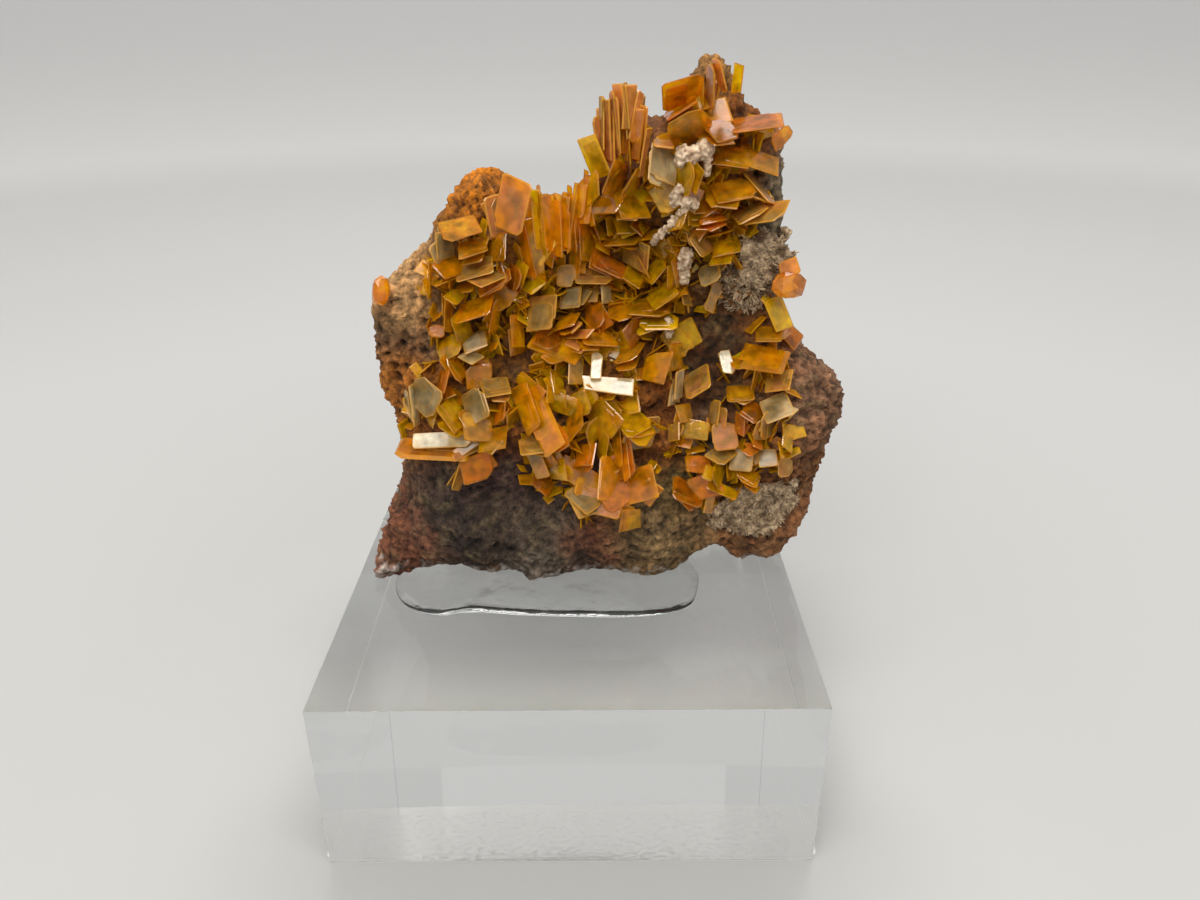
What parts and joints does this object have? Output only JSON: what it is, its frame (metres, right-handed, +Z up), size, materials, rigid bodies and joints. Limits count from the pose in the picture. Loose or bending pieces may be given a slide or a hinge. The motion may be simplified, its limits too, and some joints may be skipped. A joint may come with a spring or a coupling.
{
  "type": "wulfenite on matrix mineral specimen",
  "caption": "Upright slab of rusty matrix rock covered with thin amber wulfenite plates, glued on edge to a clear square display block.",
  "frame": {"origin": "centre of the block's underside", "axes": "+Z up through the block and the rock; the crystal face looks along -Y; +X to the viewer's right"},
  "size_m": [0.0694, 0.0636, 0.0963],
  "materials": {
    "clear_acrylic": "clear cast acrylic, polished on every face",
    "clear_glue": "clear set glue, wet-looking gloss",
    "rusty_rock": "broken limonite and dark base rock, matt and pitted",
    "grey_druse": "fine grey crystal grains with small sparkles",
    "amber_wulfenite": "translucent amber crystal plates, glossy to lightly frosted"
  },
  "bodies": {
    "root": {"acrylic_block": "clear_acrylic", "glue": "clear_glue", "matrix_rock": "rusty_rock", "druse_lower": "grey_druse", "druse_upper": "grey_druse", "wulfenite_fan": "amber_wulfenite", "wulfenite_hollow_crust": "amber_wulfenite", "wulfenite_left_shoulder": "amber_wulfenite", "wulfenite_lobe_foot": "amber_wulfenite", "wulfenite_lower_left": "amber_wulfenite", "wulfenite_lower_spray": "amber_wulfenite", "wulfenite_peak": "amber_wulfenite", "wulfenite_right_edge": "amber_wulfenite", "wulfenite_right_lobe": "amber_wulfenite", "wulfenite_right_pillar": "amber_wulfenite", "wulfenite_right_shoulder": "amber_wulfenite"}
  },
  "joints": []
}
